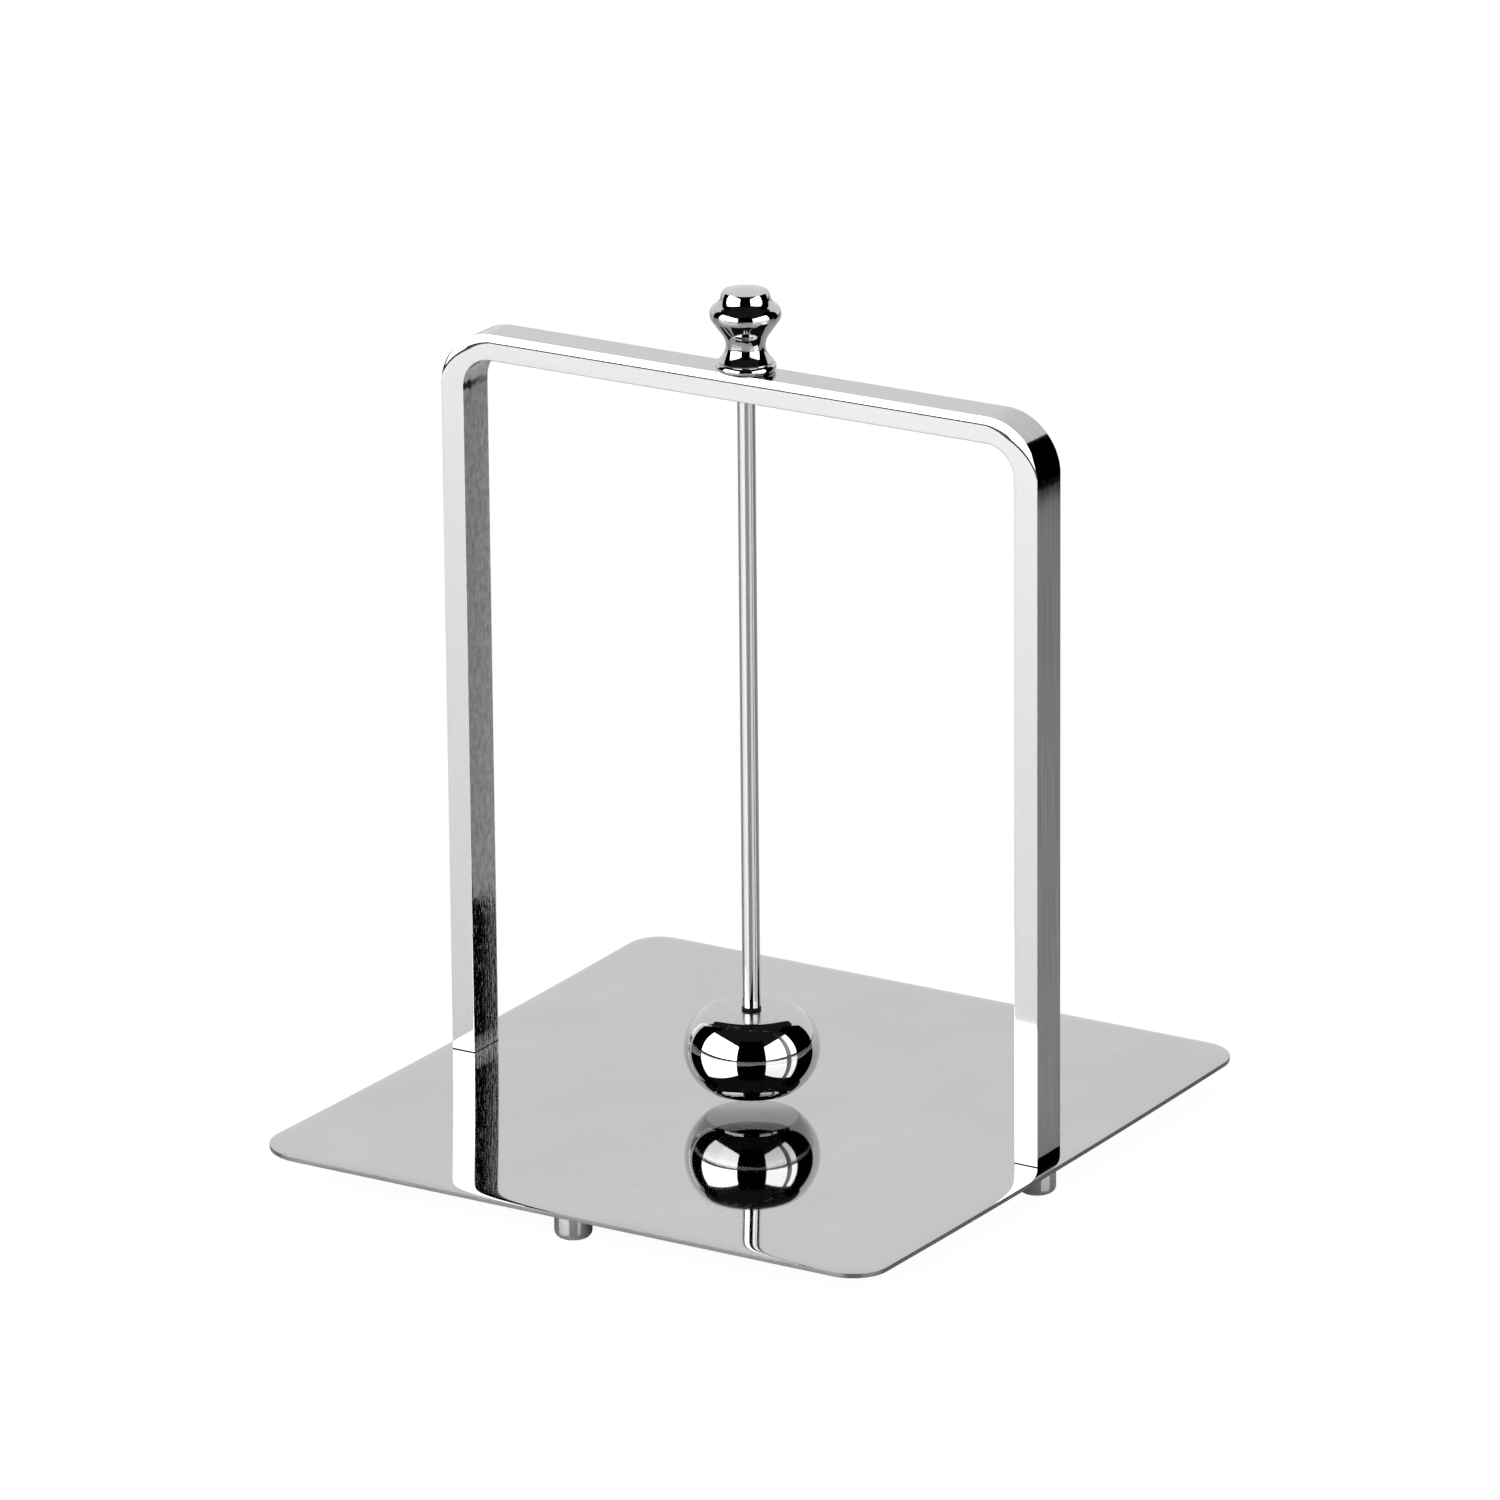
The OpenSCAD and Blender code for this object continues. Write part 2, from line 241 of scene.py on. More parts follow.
def polished_bar(foot_level, bend_level):
    """Stainless flat bar, belt polished lengthwise, with the inner faces left coarser.

    A near-black band crosses the inner faces where the bends start, napkins have rubbed
    them low down, and painted contact shadow darkens the foot of each leg on the plate.
    """
    made, tree, shader = material("belt_polished_bar")
    along = add(tree, "ShaderNodeAttribute", attribute_name="along").outputs["Fac"]
    across = add(tree, "ShaderNodeAttribute", attribute_name="across").outputs["Fac"]
    belt_place = add(tree, "ShaderNodeCombineXYZ", {"X": across, "Y": along})

    def belt_lines(width, length, detail):
        """Noise drawn out along the bar, in lines of a width and length in millimetres."""
        lines = add(tree, "ShaderNodeMapping", {
            "Vector": belt_place, "Scale": (1 / width / MM, 1 / length / MM, 1)})
        return add(tree, "ShaderNodeTexNoise", {"Vector": lines, "Scale": 1, "Detail": detail})

    # Belt lines are drawn coarser than real grit
    grain = belt_lines(0.25, 40, 3)
    scratch = belt_lines(0.6, 6, 5)
    nicks = belt_lines(0.5, 2.5, 2)
    # Broad unevenness from bending and polishing by hand, 15 mm wide, and blotches of 2 mm
    place = object_mm(tree)
    waves = add(tree, "ShaderNodeTexNoise", {"Vector": place, "Scale": 1 / 15, "Detail": 2})
    blotch = add(tree, "ShaderNodeTexNoise", {"Vector": place, "Scale": 1 / 2, "Detail": 4})
    uneven = add(tree, "ShaderNodeMath", [scratch, blotch], operation="ADD")
    mottle = add(tree, "ShaderNodeMath", [uneven, 0.5], operation="MULTIPLY")

    # How far a spot faces sideways, and how far inwards, towards the napkins
    x, y, z = add(tree, "ShaderNodeSeparateXYZ", [place]).outputs
    normal = add(tree, "ShaderNodeTexCoord").outputs["Normal"]
    facing = add(tree, "ShaderNodeSeparateXYZ", [normal]).outputs["X"]
    sideways = add(tree, "ShaderNodeMath", [facing], operation="ABSOLUTE")
    side = add(tree, "ShaderNodeMath", [x], operation="SIGN")
    outwards = add(tree, "ShaderNodeMath", [facing, side], operation="MULTIPLY")
    inwards = add(tree, "ShaderNodeMath", [outwards, -1.0], operation="MULTIPLY")
    inner = add(tree, "ShaderNodeMath", [inwards, 0.0], operation="MAXIMUM")
    # 0 at the back of the bar and 1 at its front
    front = add(tree, "ShaderNodeMapRange", {"Value": y, "From Min": 3.0, "From Max": -3.0})

    # The broad faces are polished finest, and the inner faces are the coarsest
    fine_tone = add(tree, "ShaderNodeValToRGB", [grain], [(0.3, "#BABABA"), (0.7, "#C0C0C0")])
    side_tone = add(tree, "ShaderNodeValToRGB", [grain], [(0.35, "#A2A2A2"), (0.65, "#C4C4C4")])
    inner_tone = add(tree, "ShaderNodeValToRGB", [mottle], [(0.38, "#A6A6A6"), (0.62, "#D2D2D2")])
    polished = add(tree, "ShaderNodeMix", {
        "Factor": sideways, "A": fine_tone, "B": side_tone}, data_type="RGBA").outputs["Result"]
    tone = add(tree, "ShaderNodeMix", {
        "Factor": inner, "A": polished, "B": inner_tone}, data_type="RGBA").outputs["Result"]

    # The near-black band fades out between 0.5 and 1.4 mm from the bend, where the blotches
    # move its border by up to 1.5 mm, and it is strongest at the front
    level = add(tree, "ShaderNodeMath", [z, bend_level], operation="SUBTRACT")
    from_bend = add(tree, "ShaderNodeMath", [level], operation="ABSOLUTE")
    patchy = add(tree, "ShaderNodeMath", [blotch, 0.5], operation="SUBTRACT")
    moved = add(tree, "ShaderNodeMath", [patchy, 3.0], operation="MULTIPLY")
    broken = add(tree, "ShaderNodeMath", [from_bend, moved], operation="ADD")
    bend_band = add(tree, "ShaderNodeMapRange", {"Value": broken, "From Min": 1.4, "From Max": 0.5})
    front_weight = add(tree, "ShaderNodeMapRange", {"Value": front, "To Min": 0.45, "To Max": 1.0})
    front_bend_band = add(tree, "ShaderNodeMath", [bend_band, front_weight], operation="MULTIPLY")
    inner_bend_band = add(tree, "ShaderNodeMath", [front_bend_band, inner], operation="MULTIPLY")
    # Painted contact shadow: the lowest 0.25 mm of each leg, where it stands on the plate, is
    # near-black
    contact_shadow_height = 0.25
    painted_contact_shadow = add(tree, "ShaderNodeMath", [z, foot_level + contact_shadow_height], operation="LESS_THAN")
    dark = add(tree, "ShaderNodeMath", [inner_bend_band, painted_contact_shadow], operation="MAXIMUM")
    darkened_tone = add(tree, "ShaderNodeMix", {
        "Factor": dark, "A": tone, "B": linear("#1C1C1C")}, data_type="RGBA").outputs["Result"]

    # Nicks in the lowest 40 to 50 mm of the inner faces are matt and catch some light
    clear = add(tree, "ShaderNodeMapRange", {"Value": grain, "To Min": 0.03, "To Max": 0.09})
    rubbed = add(tree, "ShaderNodeMapRange", {
        "Value": z, "From Min": foot_level + 50, "From Max": foot_level + 40, "To Max": 0.35})
    nicked = add(tree, "ShaderNodeMapRange", {"Value": nicks, "From Min": 0.56, "From Max": 0.7})
    nicked_inside = add(tree, "ShaderNodeMath", [nicked, inner], operation="MULTIPLY")
    matt = add(tree, "ShaderNodeMath", [nicked_inside, rubbed], operation="MULTIPLY")
    gloss = add(tree, "ShaderNodeMath", [clear, matt], operation="ADD")

    # Heights in millimetres: waves everywhere, and scratches on the inner faces, which are
    # worn down at the front and deepest in the last 5 mm above the foot
    near_foot = add(tree, "ShaderNodeMapRange", {
        "Value": z, "From Min": foot_level + 5, "From Max": foot_level})
    worn = add(tree, "ShaderNodeMapRange", {"Value": front, "To Min": 0.14, "To Max": 0.04})
    deeper = add(tree, "ShaderNodeMath", [near_foot, 0.5], operation="MULTIPLY")
    depth = add(tree, "ShaderNodeMath", [worn, deeper], operation="ADD")
    scratched = add(tree, "ShaderNodeMath", [mottle, depth], operation="MULTIPLY")
    inside = add(tree, "ShaderNodeMath", [inner, scratched], operation="MULTIPLY")
    wavy = add(tree, "ShaderNodeMath", [waves, 0.012], operation="MULTIPLY")
    height = add(tree, "ShaderNodeMath", [wavy, inside], operation="ADD")
    relief = add(tree, "ShaderNodeBump", {"Height": height, "Distance": MM, "Strength": 1.0})
    feed(tree, shader, {"Base Color": darkened_tone, "Roughness": gloss, "Metallic": 1,
                        "Normal": relief})
    return made


def turned_steel():
    """Turned and buffed stainless: a deep mirror with hair lines left by the mop."""
    made, tree, shader = material("turned_and_buffed_steel")
    # Hair lines run round the piece, 0.2 mm wide
    rings = add(tree, "ShaderNodeMapping", {"Vector": object_mm(tree), "Scale": (0.05, 0.05, 5)})
    grain = add(tree, "ShaderNodeTexNoise", {"Vector": rings, "Scale": 1, "Detail": 2})
    tone = add(tree, "ShaderNodeValToRGB", [grain], [(0.3, "#BABABA"), (0.7, "#C2C2C2")])
    gloss = add(tree, "ShaderNodeMapRange", {"Value": grain, "To Min": 0.02, "To Max": 0.05})
    feed(tree, shader, {"Base Color": tone, "Roughness": gloss, "Metallic": 1})
    return made


def lapped_steel():
    """Ground and lapped flat: the brightest mirror, with a few scratches and pits."""
    made, tree, shader = material("lapped_steel")
    place = object_mm(tree)
    # Scratches 0.2 mm wide and a few millimetres long
    lines = add(tree, "ShaderNodeMapping", {
        "Vector": place, "Rotation": (0, 0, 0.9), "Scale": (0.25, 5, 1)})
    scratch = add(tree, "ShaderNodeTexNoise", {"Vector": lines, "Scale": 1, "Detail": 3})
    tone = add(tree, "ShaderNodeValToRGB", [scratch], [(0.3, "#C8C8C8"), (0.4, "#E8E8E8")])
    specked = pitted(tree, place, tone, spacing=3, radius=0.25, share=0.3, code="#A0A0A0")
    feed(tree, shader, {"Base Color": specked, "Roughness": 0.03, "Metallic": 1})
    return made


def threaded_steel():
    """Plain steel studs, as turned: grey, with a fine thread drawn by its bump and by painted shade
    in its grooves.
    """
    made, tree, shader = material("plain_threaded_steel")
    pitch = 0.7
    turns = add(tree, "ShaderNodeMapping", {"Vector": object_mm(tree), "Scale": (0, 0, 1 / pitch)})
    thread = add(tree, "ShaderNodeTexWave", {
        "Vector": turns, "Scale": 0.5}, bands_direction="Z").outputs["Fac"]
    # Painted shade: the tone is darkest in the thread's grooves and lightest on its crests
    tone = add(tree, "ShaderNodeValToRGB", [thread], [(0, "#6E6E6E"), (1, "#A4A4A4")])
    relief = add(tree, "ShaderNodeBump", {"Height": thread, "Distance": 0.3 * MM, "Strength": 1.0})
    feed(tree, shader, {"Base Color": tone, "Roughness": 0.35, "Metallic": 1, "Normal": relief})
    return made


def nitrile_rubber():
    """Moulded nitrile rubber: black and matt, with a dusting of grey."""
    made, tree, shader = material("moulded_nitrile_rubber")
    # Dust in specks of 0.3 mm
    dust = add(tree, "ShaderNodeTexNoise", {"Vector": object_mm(tree), "Scale": 3, "Detail": 3})
    tone = add(tree, "ShaderNodeValToRGB", [dust], [(0.4, "#060606"), (0.75, "#181818")])
    gloss = add(tree, "ShaderNodeMapRange", {"Value": dust, "To Min": 0.45, "To Max": 0.7})
    relief = add(tree, "ShaderNodeBump", {"Height": dust, "Distance": 0.03 * MM, "Strength": 1.0})
    feed(tree, shader, {"Base Color": tone, "Roughness": gloss, "Specular IOR Level": 0.15,
                        "Normal": relief})
    return made


# Places from the frame, in millimetres

def low(node):
    return Vector(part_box(node)[0]) / MM


def high(node):
    return Vector(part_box(node)[1]) / MM


def size(node):
    return high(node) - low(node)


def foot_of(node):
    """Centre of a node's lowest level."""
    middle = (low(node) + high(node)) / 2
    return Vector((middle.x, middle.y, low(node).z))


# Base plate

def rounded_outline(half_x, half_y, radii):
    """Points of a rectangle with round corners, each with its outward direction.

    They start at the back right corner and go round by the back left one.
    """
    side_steps = 24
    corner_steps = 18
    corners = []
    for quarter, (sx, sy) in enumerate([(1, 1), (-1, 1), (-1, -1), (1, -1)]):
        radius = radii[quarter]
        centre = Vector((sx * (half_x - radius), sy * (half_y - radius)))
        corner = []
        for i in range(corner_steps + 1):
            a = math.radians(90 * (quarter + i / corner_steps))
            outward = Vector((math.cos(a), math.sin(a)))
            corner.append((centre + outward * radius, outward))
        corners.append(corner)
    outline = []
    for corner, following in zip(corners, corners[1:] + corners[:1]):
        end, outward = corner[-1]
        start = following[0][0]
        outline += corner
        outline += [(end.lerp(start, i / side_steps), outward) for i in range(1, side_steps)]
    return outline


def rim_section(bottom, top):
    """Section of the plate's rim as (distance from the edge, height), from below to above.

    Blanking and buffing have rolled the top off, the more the nearer to the edge, and have
    pushed a lip down round the underside. Between the two is the sawn edge.
    """
    roll_width = 8
    roll_drop = 0.3
    roll_fade = 1.4
    lip_fade = 0.5
    roll_steps = 14
    # The sawn edge has small rounds, and the upper one stops short where the roll begins
    edge_radius = 0.1
    shoulder_end = 78
    rolled = [(roll_width - edge_radius) * (i / roll_steps) ** 2 for i in range(1, roll_steps + 1)]
    lip = [(edge_radius + inwards, bottom - roll_drop * math.exp(-inwards / lip_fade))
           for inwards in reversed(rolled)]
    lowest = bottom - roll_drop
    shoulder = top - roll_drop
    sawn = [(edge_radius - x, lowest + z) for x, z in arc(0, edge_radius, edge_radius, -90, 0)]
    sawn += [(edge_radius - x, shoulder + z)
             for x, z in arc(0, -edge_radius, edge_radius, 0, shoulder_end)]
    roll = [(edge_radius + inwards, top - roll_drop * math.exp(-inwards / roll_fade))
            for inwards in rolled]
    return lip, sawn, roll


def base_plate(finish, rim_finish):
    """The sheet plate, with its edges rolled off and its front and back bowed up."""
    # The corners were ground by hand and differ a little. These are the back right, back
    # left, front left and front right ones.
    corner_radii = (11.5, 9, 14.5, 10)
    half = size("base_plate") / 2
    outline = rounded_outline(half.x, half.y, corner_radii)
    lip, sawn, roll = rim_section(low("base_plate").z, high("base_plate").z)
    rim = lip + sawn + roll
    points, faces, count = [], [], len(outline)
    for inset, z in rim:
        for point, outward in outline:
            p = point - outward * inset
            points.append((p.x, p.y, z))
    for k in range(len(rim) - 1):
        for i in range(count):
            j = (i + 1) % count
            a, b = k * count, (k + 1) * count
            faces.append((a + i, a + j, b + j, b + i))
    # The flat top and underside are closed by shrinking loops
    inner_loops = 16
    for first, direction in ((0, -1), ((len(rim) - 1) * count, 1)):
        loop = list(range(first, first + count))
        for step in range(1, inner_loops):
            share = 1 - step / inner_loops
            inner = list(range(len(points), len(points) + count))
            for i in range(first, first + count):
                x, y, z = points[i]
                points.append((x * share, y * share, z))
            for i in range(count):
                j = (i + 1) % count
                quad = (loop[i], loop[j], inner[j], inner[i])
                faces.append(quad if direction > 0 else quad[::-1])
            loop = inner
        faces.append(loop if direction > 0 else loop[::-1])
    points = [(x, y, z + PLATE_BOW * (y / half.y) ** 2) for x, y, z in points]
    piece = mesh_piece("base_plate_sheet", points, faces, STAND)
    piece.data.materials.append(finish)
    piece.data.materials.append(rim_finish)
    sawn_end = len(lip) + len(sawn) - 1
    for polygon in list(piece.data.polygons)[len(lip) * count:sawn_end * count]:
        polygon.material_index = 1
    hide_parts("base_plate")


# Arch

def arch_tree(finish):
    """Sweeps the bar's section along its path, rolls its outer edges and drills it.

    The section's outer corners stay sharp, and merging joins the points that a fillet of
    no radius leaves there.
    """
    tree, given = geometry_tree("bent_flat_bar", [
        "Thickness", "Width", "Inner edge", "Half span", "Height", "Outer bend",
        "Roll height", "Bend roll", "Roll depth", "Fade start", "Fade end",
        "Rod bore", "Stud bore", "Stud depth", "Leg centre", "Merge"])
    place = add(tree, "GeometryNodeInputPosition")
    x, y, z = add(tree, "ShaderNodeSeparateXYZ", [place]).outputs

    def noted(geometry, name):
        """Keeps how far along its curve each point is, under a name."""
        length = add(tree, "GeometryNodeSplineParameter").outputs["Length"]
        return add(tree, "GeometryNodeStoreNamedAttribute", {
            "Geometry": geometry, "Name": name, "Value": length})

    # Section: small edges towards the napkins, crisp ones outside, on its -X side
    box = add(tree, "GeometryNodeCurvePrimitiveQuadrilateral", {
        "Width": given["Thickness"], "Height": given["Width"]})
    outside = add(tree, "ShaderNodeMath", [x, 0.0], operation="LESS_THAN")
    edge = add(tree, "GeometryNodeSwitch", {
        "Switch": outside, "False": given["Inner edge"], "True": 0.0}, input_type="FLOAT")
    soft = add(tree, "GeometryNodeFilletCurve", {
        "Curve": box, "Count": 3, "Radius": edge}, mode="POLY")
    fine = add(tree, "GeometryNodeSubdivideCurve", {"Curve": soft, "Cuts": 32})
    swept = add(tree, "GeometryNodeCurveToMesh", {
        "Curve": noted(given["Geometry"], "along"), "Profile Curve": noted(fine, "across"),
        "Fill Caps": True})
    merged = add(tree, "GeometryNodeMergeByDistance", {
        "Geometry": swept, "Distance": given["Merge"]})

    # Depth under the outer surface of the legs, bends and top
    bend_x = add(tree, "ShaderNodeMath", [given["Half span"], given["Outer bend"]],
                 operation="SUBTRACT")
    bend_z = add(tree, "ShaderNodeMath", [given["Height"], given["Outer bend"]],
                 operation="SUBTRACT")
    off_centre = add(tree, "ShaderNodeMath", [x], operation="ABSOLUTE")
    beyond_x = add(tree, "ShaderNodeMath", [off_centre, bend_x], operation="SUBTRACT")
    beyond_z = add(tree, "ShaderNodeMath", [z, bend_z], operation="SUBTRACT")
    past_x = add(tree, "ShaderNodeMath", [beyond_x, 0.0], operation="MAXIMUM")
    past_z = add(tree, "ShaderNodeMath", [beyond_z, 0.0], operation="MAXIMUM")
    past_both = add(tree, "ShaderNodeCombineXYZ", [past_x, 0.0, past_z])
    past = add(tree, "ShaderNodeVectorMath", [past_both], operation="LENGTH").outputs["Value"]
    depth = add(tree, "ShaderNodeMath", [given["Outer bend"], past], operation="SUBTRACT")

    # The roll is widest halfway round a bend
    product = add(tree, "ShaderNodeMath", [past_x, past_z], operation="MULTIPLY")
    square = add(tree, "ShaderNodeMath", [past, past], operation="MULTIPLY")
    halfway = add(tree, "ShaderNodeMath", [product, square], operation="DIVIDE")
    widening = add(tree, "ShaderNodeMath", [halfway, given["Bend roll"]], operation="MULTIPLY")
    reach = add(tree, "ShaderNodeMath", [given["Roll height"], widening], operation="ADD")
    # It narrows to nothing at the lower end of the bend
    fade = add(tree, "ShaderNodeMapRange", {
        "Value": z, "From Min": given["Fade end"], "From Max": given["Fade start"],
        "To Min": 0.01})
    narrow_reach = add(tree, "ShaderNodeMath", [reach, fade], operation="MULTIPLY")
    inwards = add(tree, "ShaderNodeMath", [depth, narrow_reach], operation="DIVIDE")
    nearness = add(tree, "ShaderNodeMath", [1.0, inwards], operation="SUBTRACT")
    share = add(tree, "ShaderNodeMath", [nearness, 0.0], operation="MAXIMUM")
    roll = add(tree, "ShaderNodeMath", [share, 2.0], operation="POWER")
    faded = add(tree, "ShaderNodeMath", [roll, fade], operation="MULTIPLY")
    drawn = add(tree, "ShaderNodeMath", [faded, given["Roll depth"]], operation="MULTIPLY")
    # Both edges of the bar draw in, so it narrows by twice that
    drawn_twice = add(tree, "ShaderNodeMath", [drawn, 2.0], operation="MULTIPLY")
    lost = add(tree, "ShaderNodeMath", [drawn_twice, given["Width"]], operation="DIVIDE")
    narrowed = add(tree, "ShaderNodeMath", [1.0, lost], operation="SUBTRACT")
    rolled_y = add(tree, "ShaderNodeMath", [y, narrowed], operation="MULTIPLY")
    rolled_place = add(tree, "ShaderNodeCombineXYZ", [x, rolled_y, z])
    rolled = add(tree, "GeometryNodeSetPosition", {
        "Geometry": merged, "Position": rolled_place})

    # Bores for the rod and for the studs in the legs
    through = add(tree, "ShaderNodeMath", [given["Thickness"], 3.0], operation="MULTIPLY")
    rod_bore = add(tree, "GeometryNodeMeshCylinder", {
        "Vertices": 96, "Radius": given["Rod bore"], "Depth": through})
    both_ways = add(tree, "ShaderNodeMath", [given["Stud depth"], 2.0], operation="MULTIPLY")
    stud_bore = add(tree, "GeometryNodeMeshCylinder", {
        "Vertices": 48, "Radius": given["Stud bore"], "Depth": both_ways})
    other_leg = add(tree, "ShaderNodeMath", [given["Leg centre"], -1.0], operation="MULTIPLY")
    cutters = add(tree, "GeometryNodeJoinGeometry")
    for cutter, where in ((rod_bore, [0.0, 0.0, given["Height"]]),
                          (stud_bore, [given["Leg centre"], 0.0, 0.0]),
                          (stud_bore, [other_leg, 0.0, 0.0])):
        at = add(tree, "ShaderNodeCombineXYZ", where)
        drill = add(tree, "GeometryNodeTransform", {"Geometry": cutter, "Translation": at})
        tree.links.new(drill.outputs[0], cutters.inputs[0])
    drilled = add(tree, "GeometryNodeMeshBoolean", {
        "Mesh 1": rolled, "Mesh 2": cutters}, operation="DIFFERENCE", solver="EXACT")
    real = add(tree, "GeometryNodeRealizeInstances", {"Geometry": drilled})
    dressed = add(tree, "GeometryNodeSetMaterial", {"Geometry": real, "Material": finish})
    add(tree, "NodeGroupOutput", {"Geometry": dressed})
    return tree


def grown(name, source, tree, sizes, height=0.0):
    """The plain mesh that a tree makes of a source object, raised to its level."""
    bpy.context.scene.collection.objects.link(source)
    modifier = source.modifiers.new(name, "NODES")
    modifier.node_group = tree
    for item in tree.interface.items_tree:
        if item.in_out == "INPUT" and item.name in sizes:
            modifier[item.identifier] = sizes[item.name] * MM
    bpy.context.view_layer.update()
    seen = source.evaluated_get(bpy.context.evaluated_depsgraph_get())
    mesh = bpy.data.meshes.new_from_object(seen)
    mesh.name = name
    mesh.transform(Matrix.Translation((0, 0, height * MM)))
    source.modifiers.remove(modifier)
    bpy.data.objects.remove(source)
    return bpy.data.objects.new(name, mesh)


def bar_path(span, thickness, outer_bend):
    """Centre line of the bar: up the left leg, over the top and down the right leg."""
    leg_heights = [0, 0.4, 40, 80, 120, 150, 165, 175, 181, 185]
    bend_steps = 24
    middle = outer_bend - thickness / 2
    x = span.x / 2 - outer_bend
    z = span.z - outer_bend
    left = [(-span.x / 2 + thickness / 2, height) for height in leg_heights]
    bend = [(-x + middle * math.cos(a), z + middle * math.sin(a))
            for a in (math.pi - math.pi / 2 * i / bend_steps for i in range(bend_steps + 1))]
    half = left + bend + [(-x * i / 5, span.z - thickness / 2) for i in (4, 3, 2, 1)]
    return half + [(0, span.z - thickness / 2)] + [(-px, pz) for px, pz in reversed(half)]


def arch():
    """The flat bar, swept along its path in a tree of its own and fixed on the plate."""
    span = size("arch")
    thickness = 7
    outer_bend = 15.5
    finish = polished_bar(high("base_plate").z, high("arch").z - outer_bend)
    path = bar_path(span, thickness, outer_bend)
    curve = bpy.data.curves.new("arch_path", "CURVE")
    curve.dimensions = "3D"
    line = curve.splines.new("POLY")
    line.points.add(len(path) - 1)
    for point, (px, pz) in zip(line.points, path):
        point.co = (px * MM, 0, pz * MM, 1)
    # A small chamfer round the foot of each leg
    chamfered = 0.94
    for end in (line.points[0], line.points[-1]):
        end.radius = chamfered
    sizes = {"Thickness": thickness, "Width": span.y, "Inner edge": 0.15,
             "Half span": span.x / 2, "Height": span.z, "Outer bend": outer_bend,
             "Roll height": 2.4, "Bend roll": 2.4, "Roll depth": 0.62,
             "Fade start": 198.5, "Fade end": 188.5, "Rod bore": 2.5, "Stud bore": THREAD_BORE,
             "Stud depth": 12.5, "Leg centre": span.x / 2 - thickness / 2, "Merge": 0.002}
    piece = grown("arch_bar", bpy.data.objects.new("arch_path", curve), arch_tree(finish), sizes,
                  low("arch").z)
    placed(piece, STAND)
    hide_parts("arch")


# Feet

def foot_outline():
    radius = size("foot_front").x / 2
    height = size("foot_front").z
    lower_round = 1.8
    chamfer = 0.3
    bore_floor = 2.9
    recess = 2.8
    recess_depth = 0.75
    return ([(0, 0)] + arc(radius - lower_round, lower_round, lower_round, -90, 0)
            + [(radius, height - chamfer), (radius - chamfer, height), (recess, height),
               (recess, height - recess_depth), (THREAD_BORE, height - recess_depth),
               (THREAD_BORE, bore_floor), (0, bore_floor)])


def feet(finish):
    """Four turned feet on the places that the frame gives, drawn up to the bowed plate."""
    nodes = ["foot_left", "foot_right", "foot_front", "foot_back"]
    pattern = turned("foot_pattern", foot_outline(), (0, 0, 0))
    tree, given = geometry_tree("four_feet", ["Half width", "Half depth", "Stretch"])
    # Four points of a circle, drawn out to the feet's places
    circle = add(tree, "GeometryNodeMeshCircle", {"Vertices": 4, "Radius": 1.0})
    spread = add(tree, "ShaderNodeCombineXYZ", [given["Half width"], given["Half depth"], 1.0])
    places = add(tree, "GeometryNodeTransform", {"Geometry": circle, "Scale": spread})
    # The feet at the front and back are the taller ones
    place = add(tree, "GeometryNodeInputPosition")
    y = add(tree, "ShaderNodeSeparateXYZ", [place]).outputs["Y"]
    share = add(tree, "ShaderNodeMath", [y, given["Half depth"]], operation="DIVIDE")
    front_or_back = add(tree, "ShaderNodeMath", [share], operation="ABSOLUTE")
    taller = add(tree, "ShaderNodeMath", [front_or_back, given["Stretch"], 1.0],
                 operation="MULTIPLY_ADD")
    drawn_up = add(tree, "ShaderNodeCombineXYZ", [1.0, 1.0, taller])
    set_feet = add(tree, "GeometryNodeInstanceOnPoints", {
        "Points": places, "Instance": given["Geometry"], "Scale": drawn_up})
    real = add(tree, "GeometryNodeRealizeInstances", {"Geometry": set_feet})
    dressed = add(tree, "GeometryNodeSetMaterial", {"Geometry": real, "Material": finish})
    add(tree, "NodeGroupOutput", {"Geometry": dressed})
    bpy.context.scene.collection.objects.unlink(pattern)
    half_depth = foot_of("foot_back").y
    rise = PLATE_BOW * (half_depth / (size("base_plate").y / 2)) ** 2
    sizes = {"Half width": foot_of("foot_right").x, "Half depth": half_depth,
             "Stretch": rise / size("foot_back").z / MM}
    piece = placed(grown("turned_feet", pattern, tree, sizes), STAND)
    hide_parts(*nodes)


# Press

def rod(finish):
    radius = size("rod").x / 2
    thread = 2
    chamfer = 0.3
    start = low("rod").z
    shank_low = high("bumper_ring").z - start
    shank_high = low("knob").z + PILOT_DEPTH - start
    # Mopping has left the rod a little thicker just above the ring
    collar = radius + 0.07
    collar_top = shank_low + 3.5
    collar_slope = 1
    end = size("rod").z
    outline = [(0, 0), (thread - chamfer, 0), (thread, chamfer), (thread, shank_low),
               (collar, shank_low), (collar, collar_top - collar_slope), (radius, collar_top),
               (radius, shank_high), (thread, shank_high),
               (thread, end - chamfer), (thread - chamfer, end), (0, end)]
    piece = turned("press_rod", outline, foot_of("rod"), PRESS)
    piece.data.materials.append(finish)
    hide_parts("rod")


def ring(finish):
    radius = size("bumper_ring").x / 2
    height = size("bumper_ring").z
    corner = 0.2
    outline = ([(THREAD_BORE, 0)] + arc(radius - corner, corner, corner, -90, 0)
               + arc(radius - corner, height - corner, corner, 0, 90) + [(THREAD_BORE, height)])
    piece = turned("bumper_ring_rubber", outline, foot_of("bumper_ring"), PRESS, closed=True)
    piece.data.materials.append(finish)
    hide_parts("bumper_ring")


